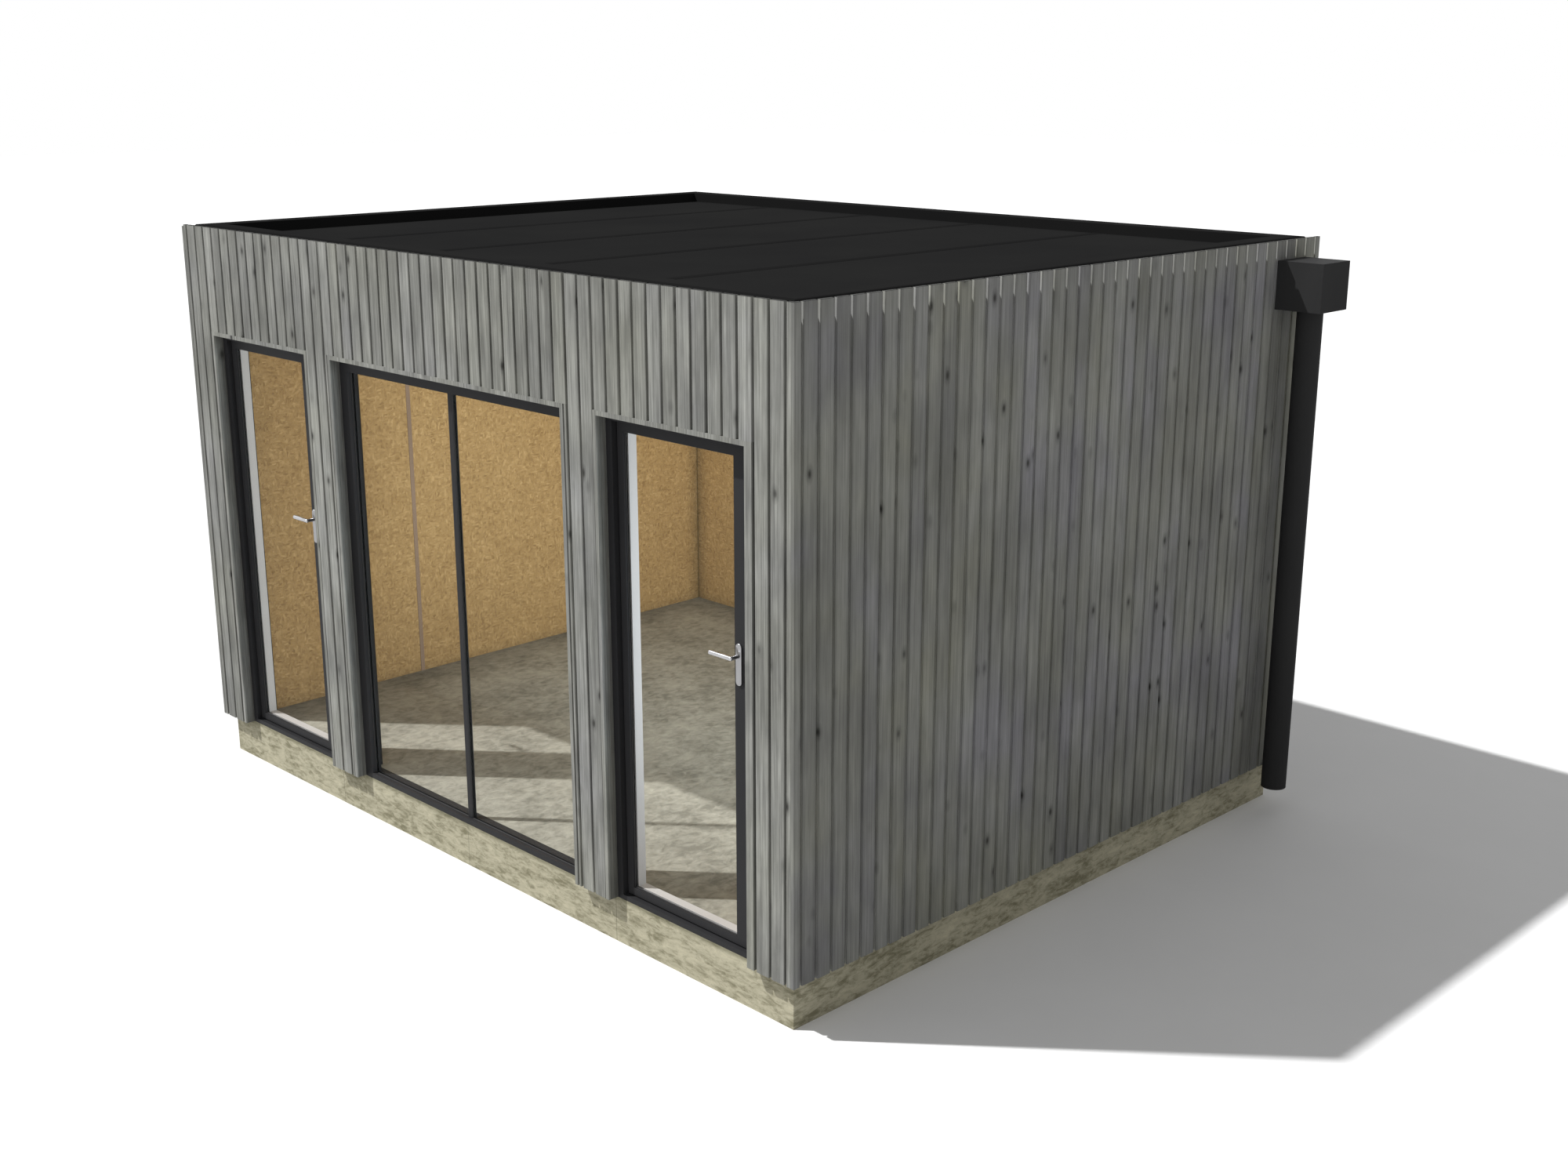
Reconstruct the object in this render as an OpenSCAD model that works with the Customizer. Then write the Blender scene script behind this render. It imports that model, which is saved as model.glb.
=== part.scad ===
// Wooden annex: flat-roofed timber box on a concrete plinth.
// X runs along the glazed front, the front faces -Y, Z is up.
// The origin is the centre of the plinth's underside. All sizes in mm.

/* [Body] */
// Width over the boards
body_w = 4000; // [3600:10:5200]
// Depth over the boards
body_d = 3190; // [2600:10:4200]
// Thickness of boards and battens together
clad_t = 45; // [36:1:60]
// Thickness of a side or back wall behind its boards
core_t = 145; // [135:1:220]

/* [Base] */
// Height of the concrete plinth slab
plinth_h = 190; // [120:1:300]
// Thickness of the floor screed
screed_t = 20; // [12:1:24]

/* [Openings] */
// Clear width between the door reveals
door_w = 788; // [720:2:860]
// Boarding between a front corner and the door beside it
corner_w = 219; // [150:1:320]
// Boarding between a door and the window
mid_w = 208; // [120:1:320]
// Clear height from the plinth to the reveal head
open_h = 1894; // [1800:2:2000]
// Height of the boarding over the reveal heads
lintel_h = 474; // [420:1:620]
// Thickness of a reveal board
reveal_t = 18; // [12:1:24]
// Depth of the reveal in front of the frames
reveal_d = 46; // [46:1:70]
// Thickness of the last reveal board, between the right door and the corner
end_reveal_t = 35; // [18:1:40]

/* [Door frame] */
// Face width of the frame's jambs
jamb_w = 50; // [44:1:70]
// Face height of the frame's head
head_w = 38; // [30:1:60]
// Height of the threshold
sill_h = 20; // [16:1:30]
// Depth of the stop behind the leaf
stop_t = 12; // [8:1:14]
// How far the stop stands inside the frame
stop_w = 14; // [8:1:24]

/* [Door leaf] */
// Gap at the head, foot and back of the leaf
leaf_gap = 6; // [6:0.5:8]
// Gap at the pivot side, wide enough for the leaf's front corner to turn
pivot_gap = 8; // [8:0.5:10]
// Gap at the lock side, wide enough for the leaf's back corner to swing past
lock_gap = 10; // [10:0.5:14]
// Distance of the pivot from the leaf's edge
pivot_x = 10; // [8:0.5:14]
// Distance of the pivot behind the leaf's face
pivot_y = 7; // [6:0.5:8]
// Diameter of the pivot pins at head and foot
pivot_d = 8; // [6:0.5:9]
// Length of a pivot pin inside the leaf
pivot_len = 15; // [10:1:20]
// Running play round pins and spindles
play = 0.3; // [0.2:0.05:0.5]
// Step from the frame's face back to the leaf's face
leaf_set = 19; // [10:1:22]
// Depth of the outer half of the leaf
leaf_t = 24; // [23:1:26]
// Depth of the pale inner half of the leaf
inner_t = 38; // [30:1:42]
// Face width of the stile on the pivot side
hinge_stile = 33; // [30:1:70]
// Face width of the stile on the lock side
lock_stile = 95; // [90:1:110]
// Face height of the top rail
top_rail = 32; // [28:1:60]
// Face height of the bottom rail
bottom_rail = 30; // [28:1:90]
// Depth of the lip in front of the glass
lip_t = 10; // [8:1:12]
// Depth of the rebate round the glass
rebate = 8; // [6:1:9]
// Play round the edge of the glass
glass_play = 2; // [1:0.5:3]

/* [Handle] */
// Height of the spindle above the plinth
spindle_h = 1132; // [950:1:1200]
// Distance of the spindle from the leaf's lock edge
backset = 71; // [64:1:76]
// Diameter of the spindle
spindle_d = 9; // [8:0.5:10]
// Bore for the spindle
spindle_bore = 14; // [13:0.5:16]
// Height of a handle plate
plate_h = 155; // [145:1:240]
// Width of a handle plate
plate_w = 30; // [26:1:34]
// Thickness of a handle plate
plate_t = 8; // [6:1:10]
// Distance of the spindle below the plate's top
plate_top = 46; // [36:1:60]
// Diameter of the lever's bar
lever_d = 18; // [14:1:20]
// Diameter of the lever's neck
neck_d = 15; // [12:1:17]
// Length of the lever from spindle to tip
lever_len = 112; // [100:1:140]
// Distance from the plate's face to the middle of the bar
lever_out = 34; // [30:1:46]
// Gap between plate and lever neck
neck_gap = 2; // [1:0.5:4]

/* [Window] */
// Face width of the window's jambs
win_jamb = 73; // [60:1:110]
// Face height of the window's head
win_head = 68; // [50:1:90]
// Height of the window's bottom member
win_sill = 24; // [20:1:60]
// Depth of the window's jambs and head
win_d = 45; // [42:1:60]
// Depth of the window's bottom member
sill_d = 67; // [50:1:76]
// Depth of the lip in front of the panes
win_lip = 19; // [10:1:24]
// Width of the bar between the panes
mullion_w = 27; // [24:1:80]
// Depth of the bar between the panes
mullion_d = 22; // [20:1:24]
// Thickness of a double pane
pane_t = 14; // [12:1:16]

/* [Roof] */
// Thickness of the roof deck
deck_t = 186; // [140:2:240]
// Height of the raised kerb above the deck
kerb_h = 50; // [30:1:100]
// Width of the kerb's top
kerb_w = 80; // [50:1:150]
// Thickness of the roof sheet
sheet_t = 4; // [3:0.5:8]
// Thickness of the rail behind the boards' top
rail_t = 24; // [18:1:40]
// Thickness of the ceiling board
ceiling_t = 12; // [9:1:18]

/* [Inside] */
// Distance of the board joint from the front's inner face
joint_y = 898; // [400:2:1400]
// Width of the strip over the joint
strip_w = 22; // [16:1:40]
// Thickness of the strip over the joint
strip_t = 3; // [2:0.5:6]

/* [Rainwater] */
// Size of the hopper out from the wall
hopper_x = 213; // [150:1:240]
// Size of the hopper along the wall
hopper_y = 214; // [150:1:260]
// Height of the hopper
hopper_h = 204; // [140:1:260]
// Wall of the hopper
hopper_wall = 4; // [3:0.5:6]
// Distance of the hopper's middle from the back
hopper_back = 225; // [160:1:500]
// Distance of the hopper's top below the boards' top
hopper_drop = 79; // [40:1:200]
// Outer diameter of the downpipe
pipe_d = 110; // [80:1:120]
// Wall of the downpipe
pipe_wall = 3; // [2:0.5:5]
// Height of the pipe's open end
pipe_end = 140; // [100:1:250]

/* [Hidden] */
eps = 1;
yf = -body_d / 2;
door_x = body_w / 2 - corner_w - door_w / 2;
window_w = body_w - 2 * (corner_w + door_w + mid_w);
frame_d = leaf_set + leaf_t + inner_t + leaf_gap + stop_t;
clad_top = plinth_h + open_h + reveal_t + lintel_h;
deck_top = clad_top - kerb_h;
deck_bot = deck_top - deck_t;
wall_in = clad_t + core_t;
front_in = reveal_d + frame_d;
room_w = body_w - 2 * wall_in;
room_y0 = yf + front_in;
room_y1 = body_d / 2 - wall_in;
base_w = body_w - 2 * clad_t;
base_d = body_d - 2 * clad_t;
head_z = plinth_h + open_h;
core_head = head_z + reveal_t;
door_cut = door_w + 2 * reveal_t;
window_cut = window_w + 2 * reveal_t;
frame_h = open_h + reveal_t;
frame_y = yf + reveal_d;
frame_in_w = door_cut - 2 * jamb_w;
frame_in_h = frame_h - head_w - sill_h;
leaf_w = frame_in_w - pivot_gap - lock_gap;
leaf_h = frame_in_h - 2 * leaf_gap;
leaf_y = frame_y + leaf_set;
leaf_z = plinth_h + sill_h + leaf_gap;
inner_y = leaf_y + leaf_t;
leaf_back = inner_y + inner_t;
glass_y = leaf_y + lip_t;
spindle_z = plinth_h + spindle_h;
pipe_x = body_w / 2 + hopper_x / 2;
pipe_y = body_d / 2 - hopper_back;
hopper_bot = clad_top - hopper_drop - hopper_h;
$fn = 64;

concrete = [0.72, 0.70, 0.60];
screed = [0.49, 0.47, 0.41];
strand = [0.64, 0.52, 0.35];
wood = [0.58, 0.58, 0.56];
dark = [0.14, 0.14, 0.15];
pale = [0.90, 0.90, 0.90];
metal = [0.75, 0.76, 0.78];
glass = [0.70, 0.80, 0.82, 0.35];

// Box from its low corner to its high corner
module span(lo, hi) {
  translate(lo) cube(hi - lo);
}

// Box between two x values in the front wall, from y0 to y1 behind the boards' face
module front_box(x0, x1, y0, y1, z0, z1) {
  span([x0, yf + y0, z0], [x1, yf + y1, z1]);
}

// Right half as drawn, left half mirrored: side is -1 for left and 1 for right
module sided(side) {
  if (side < 0)
    mirror([1, 0, 0]) children();
  else
    children();
}

// Concrete slab under walls and floor
module plinth() {
  color(concrete)
  span([-base_w / 2, -base_d / 2, 0], [base_w / 2, base_d / 2, plinth_h]);
}

// Floor finish between the walls, with a tongue that runs up to the window's bottom member
module floor_screed() {
  z1 = plinth_h + screed_t;
  color(screed) {
    span([-room_w / 2, room_y0, plinth_h], [room_w / 2, room_y1, z1]);
    span([-window_cut / 2, frame_y + sill_d, plinth_h], [window_cut / 2, room_y0 + eps, z1]);
  }
}

// Wall along the depth
module side_wall(side) {
  color(strand)
  sided(side)
    span([room_w / 2, room_y0, plinth_h], [base_w / 2, room_y1, deck_bot]);
}

module left_wall() {
  side_wall(-1);
}

module right_wall() {
  side_wall(1);
}

module back_wall() {
  color(strand)
  span([-base_w / 2, room_y1, plinth_h], [base_w / 2, base_d / 2, deck_bot]);
}

// Wall over the three openings, as deep as the door frames below it
module lintel_wall() {
  color(strand)
  front_box(-base_w / 2, base_w / 2, clad_t, front_in, core_head, deck_bot);
}

// Wall beside a door, outside it or next to the window
module outer_pier(side) {
  x0 = door_x + door_cut / 2;
  color(strand)
  sided(side) front_box(x0, base_w / 2, clad_t, front_in, plinth_h, core_head);
}

module inner_pier(side) {
  x1 = door_x - door_cut / 2;
  color(strand)
  sided(side) front_box(window_cut / 2, x1, clad_t, front_in, plinth_h, core_head);
}

module outer_pier_left() {
  outer_pier(-1);
}

module inner_pier_left() {
  inner_pier(-1);
}

module inner_pier_right() {
  inner_pier(1);
}

module outer_pier_right() {
  outer_pier(1);
}

// Board under the roof deck, between the walls
module ceiling() {
  color(strand)
  span([-room_w / 2, room_y0, deck_bot - ceiling_t], [room_w / 2, room_y1, deck_bot]);
}

// Flat strip over a joint of the inner boards
module joint_strip(side) {
  y = room_y0 + joint_y;
  color(metal)
  sided(side)
    span([room_w / 2 - strip_t, y - strip_w / 2, plinth_h + screed_t],
         [room_w / 2, y + strip_w / 2, deck_bot - ceiling_t]);
}

module left_joint_strip() {
  joint_strip(-1);
}

module right_joint_strip() {
  joint_strip(1);
}

// Boarding of a long side with the rail behind its top edge
module side_cladding(side) {
  color(wood)
  sided(side) {
    span([base_w / 2, -base_d / 2, plinth_h], [body_w / 2, base_d / 2, clad_top]);
    span([base_w / 2 - rail_t, -base_d / 2 + rail_t, deck_top],
         [base_w / 2, base_d / 2 - rail_t, clad_top]);
  }
}

module left_cladding() {
  side_cladding(-1);
}

module right_cladding() {
  side_cladding(1);
}

module back_cladding() {
  color(wood) {
    span([-body_w / 2, base_d / 2, plinth_h], [body_w / 2, body_d / 2, clad_top]);
    span([-base_w / 2, base_d / 2 - rail_t, deck_top], [base_w / 2, base_d / 2, clad_top]);
  }
}

module lintel_cladding() {
  color(wood) {
    front_box(-body_w / 2, body_w / 2, 0, clad_t, core_head, clad_top);
    front_box(-base_w / 2, base_w / 2, clad_t, clad_t + rail_t, deck_top, clad_top);
  }
}

module outer_cladding(side) {
  x0 = door_x + door_cut / 2;
  color(wood)
  sided(side) front_box(x0, body_w / 2, 0, clad_t, plinth_h, core_head);
}

module inner_cladding(side) {
  x1 = door_x - door_cut / 2;
  color(wood)
  sided(side) front_box(window_cut / 2, x1, 0, clad_t, plinth_h, core_head);
}

module outer_cladding_left() {
  outer_cladding(-1);
}

module inner_cladding_left() {
  inner_cladding(-1);
}

module inner_cladding_right() {
  inner_cladding(1);
}

module outer_cladding_right() {
  outer_cladding(1);
}

// Two side boards and a head board round an opening of width w between boards of the usual thickness
module reveal(x, w, right_t = reveal_t) {
  x1 = x + w / 2 + reveal_t;
  color(wood)
  difference() {
    front_box(x - w / 2 - reveal_t, x1, 0, reveal_d, plinth_h, core_head);
    front_box(x - w / 2, x1 - right_t, -eps, reveal_d + eps, plinth_h - eps, head_z);
  }
}

module left_reveal() {
  reveal(-door_x, door_w);
}

module window_reveal() {
  reveal(0, window_w);
}

module right_reveal() {
  reveal(door_x, door_w, end_reveal_t);
}

// Upright ring in the front plane: outer box less an inner box of the same depth
module ring(x0, x1, z0, z1, y0, y1, left, right, bottom, top) {
  difference() {
    span([x0, y0, z0], [x1, y1, z1]);
    span([x0 + left, y0 - eps, z0 + bottom], [x1 - right, y1 + eps, z1 - top]);
  }
}

// Door frame with the stop that the leaf closes against
module door_frame(x) {
  x0 = x - door_cut / 2;
  x1 = x + door_cut / 2;
  z1 = plinth_h + frame_h;
  back = frame_y + frame_d;
  color(dark) {
    ring(x0, x1, plinth_h, z1, frame_y, back, jamb_w, jamb_w, sill_h, head_w);
    ring(x0, x1, plinth_h, z1, back - stop_t, back,
         jamb_w + stop_w, jamb_w + stop_w, sill_h + stop_w, head_w + stop_w);
    on_leaf(x) pivots(leaf_gap + eps, 0);
  }
}

// Pivot pins at the leaf's foot and head, out of the leaf by out and wider by grow all round
module pivots(out, grow) {
  r = pivot_d / 2 + grow;
  h = pivot_len + grow + out;
  translate([pivot_x, leaf_y + pivot_y, -out]) cylinder(r = r, h = h);
  translate([pivot_x, leaf_y + pivot_y, leaf_h - pivot_len - grow]) cylinder(r = r, h = h);
}

module left_frame() {
  door_frame(-door_x);
}

module right_frame() {
  door_frame(door_x);
}

// Place children so that x = 0 is the leaf's pivot edge and z = 0 its foot
module on_leaf(x) {
  translate([x - frame_in_w / 2 + pivot_gap, 0, leaf_z]) children();
}

// Bore for the spindle through both halves of the leaf
module bore() {
  translate([leaf_w - backset, leaf_y - eps, spindle_z - leaf_z])
    rotate([-90, 0, 0])
      cylinder(d = spindle_bore, h = leaf_t + inner_t + 2 * eps);
}

// Outer half of the leaf with the rebate for the glass
module leaf(x) {
  color(dark)
  on_leaf(x)
    difference() {
      ring(0, leaf_w, 0, leaf_h, leaf_y, inner_y, hinge_stile, lock_stile, bottom_rail, top_rail);
      span([hinge_stile - rebate, glass_y, bottom_rail - rebate],
           [leaf_w - lock_stile + rebate, inner_y + eps, leaf_h - top_rail + rebate]);
      bore();
      pivots(eps, play);
    }
}

// Pale inner half of the leaf, it holds the glass from behind
module inner_leaf(x) {
  color(pale)
  on_leaf(x)
    difference() {
      ring(0, leaf_w, 0, leaf_h, inner_y, leaf_back, hinge_stile, lock_stile, bottom_rail, top_rail);
      bore();
    }
}

module leaf_glass(x) {
  hold = rebate - glass_play;
  color(glass)
  on_leaf(x)
    span([hinge_stile - hold, glass_y, bottom_rail - hold],
         [leaf_w - lock_stile + hold, inner_y, leaf_h - top_rail + hold]);
}

// Handle plate with round ends, its back on y = 0 and its face on -y
module plate() {
  rotate([90, 0, 0])
    linear_extrude(plate_t)
      difference() {
        translate([0, plate_top - plate_h / 2])
          union() {
            square([plate_w, plate_h - plate_w], center = true);
            translate([0, (plate_h - plate_w) / 2]) circle(d = plate_w);
            translate([0, (plate_w - plate_h) / 2]) circle(d = plate_w);
          }
        circle(d = spindle_d + 2 * play);
      }
}

// Put children on the spindle's axis, at depth y
module on_spindle(x, y) {
  on_leaf(x) translate([leaf_w - backset, y, spindle_z - leaf_z]) children();
}

module outer_plate(x) {
  color(metal) on_spindle(x, leaf_y) plate();
}

module inner_plate(x) {
  color(metal) on_spindle(x, leaf_back) mirror([0, 1, 0]) plate();
}

// Half outline of the lever's bar, round at both ends, turned about its long axis
module bar() {
  r = lever_d / 2;
  rotate([0, -90, 0])
    rotate_extrude() {
      square([r, lever_len - r]);
      translate([0, lever_len - r]) intersection() {
        circle(r);
        square(r);
      }
      intersection() {
        circle(r);
        translate([0, -r]) square(r);
      }
    }
}

// One half of the handle: neck and bar, standing off the plate on -y
module lever_half() {
  translate([0, -plate_t - neck_gap, 0])
    rotate([90, 0, 0])
      cylinder(d = neck_d, h = lever_out - neck_gap);
  translate([0, -plate_t - lever_out, 0]) bar();
}

// Both halves on one spindle
module lever(x) {
  color(metal) {
    on_spindle(x, leaf_y) lever_half();
    on_spindle(x, leaf_back) mirror([0, 1, 0]) lever_half();
    on_spindle(x, leaf_y - plate_t - neck_gap - eps)
      rotate([-90, 0, 0])
        cylinder(d = spindle_d, h = leaf_t + inner_t + 2 * (plate_t + neck_gap + eps));
  }
}

module left_leaf() {
  leaf(-door_x);
}

module left_inner_leaf() {
  inner_leaf(-door_x);
}

module left_glass() {
  leaf_glass(-door_x);
}

module left_outer_plate() {
  outer_plate(-door_x);
}

module left_inner_plate() {
  inner_plate(-door_x);
}

module left_lever() {
  lever(-door_x);
}

module right_leaf() {
  leaf(door_x);
}

module right_inner_leaf() {
  inner_leaf(door_x);
}

module right_glass() {
  leaf_glass(door_x);
}

module right_outer_plate() {
  outer_plate(door_x);
}

module right_inner_plate() {
  inner_plate(door_x);
}

module right_lever() {
  lever(door_x);
}

// Pane seen from the front, side is -1 or 1, grown by g into the frame
module pane_box(side, g) {
  x0 = mullion_w / 2 - g;
  x1 = window_cut / 2 - win_jamb + g;
  z0 = plinth_h + win_sill - g;
  z1 = plinth_h + frame_h - win_head + g;
  sided(side)
    span([x0, frame_y + win_lip, z0], [x1, frame_y + win_lip + pane_t, z1]);
}

// Fixed window frame with one bar and a groove for each pane
module window_frame() {
  w = window_cut / 2;
  bar_y = frame_y + win_lip + (pane_t - mullion_d) / 2;
  color(dark)
  difference() {
    union() {
      ring(-w, w, plinth_h, plinth_h + frame_h, frame_y, frame_y + win_d,
           win_jamb, win_jamb, win_sill, win_head);
      span([-w, frame_y, plinth_h], [w, frame_y + sill_d, plinth_h + win_sill]);
      span([-mullion_w / 2, bar_y, plinth_h + win_sill - eps],
           [mullion_w / 2, bar_y + mullion_d, plinth_h + frame_h - win_head + eps]);
    }
    pane_box(-1, rebate);
    pane_box(1, rebate);
  }
}

module window_pane_left() {
  color(glass) pane_box(-1, rebate - glass_play);
}

module window_pane_right() {
  color(glass) pane_box(1, rebate - glass_play);
}

// Roof panel lying on the walls
module roof_deck() {
  color(strand)
  span([-base_w / 2, -base_d / 2, deck_bot], [base_w / 2, base_d / 2, deck_top]);
}

// Black sheet on the deck, dressed up over the kerb
module roof_membrane() {
  w = base_w / 2 - rail_t;
  d = base_d / 2 - rail_t;
  color(dark)
  difference() {
    span([-w, -d, deck_top], [w, d, clad_top]);
    span([-w + kerb_w, -d + kerb_w, deck_top + sheet_t], [w - kerb_w, d - kerb_w, clad_top + eps]);
  }
}

// Rainwater box on the right wall, its outlet in the bottom
module hopper() {
  y0 = pipe_y - hopper_y / 2;
  y1 = pipe_y + hopper_y / 2;
  x0 = body_w / 2;
  x1 = x0 + hopper_x;
  z1 = hopper_bot + hopper_h;
  color(dark)
  difference() {
    span([x0, y0, hopper_bot], [x1, y1, z1]);
    span([x0 + hopper_wall, y0 + hopper_wall, hopper_bot + hopper_wall],
         [x1 - hopper_wall, y1 - hopper_wall, z1 - hopper_wall]);
    translate([pipe_x, pipe_y, hopper_bot - eps])
      cylinder(d = pipe_d - 2 * pipe_wall, h = hopper_wall + 2 * eps);
  }
}

// Round pipe hanging from the hopper's outlet
module downpipe() {
  color(dark)
  translate([pipe_x, pipe_y, pipe_end])
    difference() {
      cylinder(d = pipe_d, h = hopper_bot - pipe_end);
      translate([0, 0, -eps])
        cylinder(d = pipe_d - 2 * pipe_wall, h = hopper_bot - pipe_end + 2 * eps);
    }
}

plinth();
floor_screed();
left_wall();
right_wall();
back_wall();
lintel_wall();
outer_pier_left();
inner_pier_left();
inner_pier_right();
outer_pier_right();
ceiling();
left_joint_strip();
right_joint_strip();
left_cladding();
right_cladding();
back_cladding();
lintel_cladding();
outer_cladding_left();
inner_cladding_left();
inner_cladding_right();
outer_cladding_right();
left_reveal();
window_reveal();
right_reveal();
left_frame();
right_frame();
window_frame();
left_leaf();
left_inner_leaf();
left_glass();
left_outer_plate();
left_inner_plate();
left_lever();
right_leaf();
right_inner_leaf();
right_glass();
right_outer_plate();
right_inner_plate();
right_lever();
window_pane_left();
window_pane_right();
roof_deck();
roof_membrane();
hopper();
downpipe();
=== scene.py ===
# %% [markdown]
# Wooden annex
# The solids of this small building come ready made: plinth, walls, frames, glass, roof. This lesson
# dresses them. It lays the single boards that the solids only stand for, adds thin pieces such as
# seals and handle plates, gives every piece a finish made of nodes, and sets up light and camera.

# %% Load the frame
import math

import bpy
import numpy as np
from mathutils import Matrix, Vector


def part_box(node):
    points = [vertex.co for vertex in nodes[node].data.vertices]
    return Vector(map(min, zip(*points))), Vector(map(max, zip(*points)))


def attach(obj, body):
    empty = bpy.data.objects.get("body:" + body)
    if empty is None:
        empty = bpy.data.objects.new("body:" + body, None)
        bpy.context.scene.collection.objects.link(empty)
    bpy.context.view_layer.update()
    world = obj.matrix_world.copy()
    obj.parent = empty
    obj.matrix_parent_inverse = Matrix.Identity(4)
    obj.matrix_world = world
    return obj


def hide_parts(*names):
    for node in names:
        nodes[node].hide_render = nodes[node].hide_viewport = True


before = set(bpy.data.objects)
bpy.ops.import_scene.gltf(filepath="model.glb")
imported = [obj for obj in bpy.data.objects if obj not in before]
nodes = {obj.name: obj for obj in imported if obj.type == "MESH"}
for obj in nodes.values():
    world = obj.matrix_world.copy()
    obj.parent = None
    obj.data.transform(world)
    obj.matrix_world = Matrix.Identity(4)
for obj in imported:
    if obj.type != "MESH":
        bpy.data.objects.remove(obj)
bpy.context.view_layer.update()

# %% [markdown]
# A camera that matches a photograph comes first, because every later choice is judged through it.
# Its place and its lens were solved from the building's corners. The picture is 2000 by 1500, and
# the lens is given for a sensor 36 mm wide. The camera looks down a little but doesn't lean to a
# side, so a track rotation is enough.

# %% Camera
EYE = Vector((6.1011, -5.6929, 3.3091))
SIGHT = Vector((-0.68392, 0.67554, -0.27550))
FOCAL_PX, PICTURE_W, SENSOR_W = 2356.28, 2000, 36.0

eye = bpy.data.objects.new("camera", bpy.data.cameras.new("camera"))
eye.data.sensor_fit = "HORIZONTAL"
eye.data.sensor_width = SENSOR_W
eye.data.lens = FOCAL_PX / PICTURE_W * SENSOR_W
eye.location = EYE
eye.rotation_euler = SIGHT.to_track_quat("-Z", "Y").to_euler()
bpy.context.collection.objects.link(eye)
bpy.context.scene.camera = eye
print("lens", round(eye.data.lens, 2), "mm")

# %% [markdown]
# Finishes are node trees, and writing them by hand is wordy. Small helpers each add one node and
# hand back its output, so a finish reads like a recipe. A value that is already a socket is linked,
# and anything else is set on the socket. The first ones say where on a piece a pattern is read.


# %% Trees and coordinates
def feed(tree, socket, value):
    """Links a socket to another, or sets a plain value on it."""
    if isinstance(value, bpy.types.NodeSocket):
        tree.links.new(value, socket)
    else:
        socket.default_value = value


def finish(name):
    """A fresh node material: gives the material, its tree and its main shader."""
    mat = bpy.data.materials.new(name)
    mat.use_nodes = True
    return mat, mat.node_tree, mat.node_tree.nodes["Principled BSDF"]


def place(tree):
    """The point on the piece, in metres in the building's own axes."""
    return tree.nodes.new("ShaderNodeTexCoord").outputs["Object"]


def parts_of(tree, vec):
    """The x, y and z of a vector, as three outputs."""
    n = tree.nodes.new("ShaderNodeSeparateXYZ")
    feed(tree, n.inputs[0], vec)
    return tuple(n.outputs)


def stretch(tree, vec, scale, move=(0, 0, 0), turn=(0, 0, 0)):
    """Moves, turns and scales the coordinates that a pattern is read at."""
    n = tree.nodes.new("ShaderNodeMapping")
    feed(tree, n.inputs["Vector"], vec)
    n.inputs["Scale"].default_value = scale
    n.inputs["Location"].default_value = move
    n.inputs["Rotation"].default_value = turn
    return n.outputs["Vector"]


print("coordinate helpers ready")

# %% [markdown]
# Two patterns are enough for the whole building. Soft noise makes streaks, stains and clouds, and
# scattered points make knots, flakes and specks. Both are read at coordinates that were squeezed
# first, so the size of a pattern is set in one place and can differ along and across the grain.


# %% Patterns
def cloud(tree, vec, detail=4.0, rough=0.55, bend=0.0):
    """Soft noise from 0 to 1 at the given coordinates."""
    n = tree.nodes.new("ShaderNodeTexNoise")
    feed(tree, n.inputs["Vector"], vec)
    n.inputs["Scale"].default_value = 1.0
    n.inputs["Detail"].default_value = detail
    n.inputs["Roughness"].default_value = rough
    n.inputs["Distortion"].default_value = bend
    return n.outputs["Fac"]


def cells(tree, vec, out="Distance"):
    """Distance to, or colour of, the nearest of many scattered points."""
    n = tree.nodes.new("ShaderNodeTexVoronoi")
    feed(tree, n.inputs["Vector"], vec)
    n.inputs["Scale"].default_value = 1.0
    return n.outputs[out]


print("pattern helpers ready")

# %% [markdown]
# Patterns turn into finishes by a little arithmetic. Values are multiplied or averaged, spread over
# a new range, and made into colours, which are mixed in turn.


# %% Sums, ramps and mixes
def calc(tree, how, a, b=0.0):
    """One sum on two numbers."""
    n = tree.nodes.new("ShaderNodeMath")
    n.operation = how
    feed(tree, n.inputs[0], a)
    feed(tree, n.inputs[1], b)
    return n.outputs[0]


def times(tree, first, *others):
    """All the values multiplied, from left to right."""
    for other in others:
        first = calc(tree, "MULTIPLY", first, other)
    return first


def average(tree, a, share, b):
    """Share times a, plus the rest of one times b."""
    return calc(tree, "ADD", times(tree, a, share), times(tree, b, 1 - share))


def spread(tree, value, low, high, to_low=0.0, to_high=1.0):
    """Maps low..high to to_low..to_high and holds the ends."""
    n = tree.nodes.new("ShaderNodeMapRange")
    feed(tree, n.inputs["Value"], value)
    n.inputs["From Min"].default_value = low
    n.inputs["From Max"].default_value = high
    n.inputs["To Min"].default_value = to_low
    n.inputs["To Max"].default_value = to_high
    return n.outputs["Result"]


def ramp(tree, value, *stops):
    """Colour by value: stops are (position, red, green, blue)."""
    n = tree.nodes.new("ShaderNodeValToRGB")
    feed(tree, n.inputs["Fac"], value)
    marks = n.color_ramp.elements
    while len(marks) < len(stops):
        marks.new(0.5)
    for mark, stop in zip(marks, stops):
        mark.position = stop[0]
        mark.color = (*stop[1:], 1)
    return n.outputs["Color"]


def blend(tree, share, a, b, how="MIX"):
    """Mixes two colours by a share from 0 to 1."""
    n = tree.nodes.new("ShaderNodeMix")
    n.data_type = "RGBA"
    n.blend_type = how
    feed(tree, n.inputs[0], share)
    feed(tree, n.inputs[6], a)
    feed(tree, n.inputs[7], b)
    return n.outputs[2]


print("arithmetic helpers ready")

# %% [markdown]
# Two helpers are left. Bump lets a pattern catch the light without any new faces. Light paths tell
# whether a surface is being looked at or only lit, which a white studio needs: it should look white
# and yet not flood the object with light.


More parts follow.
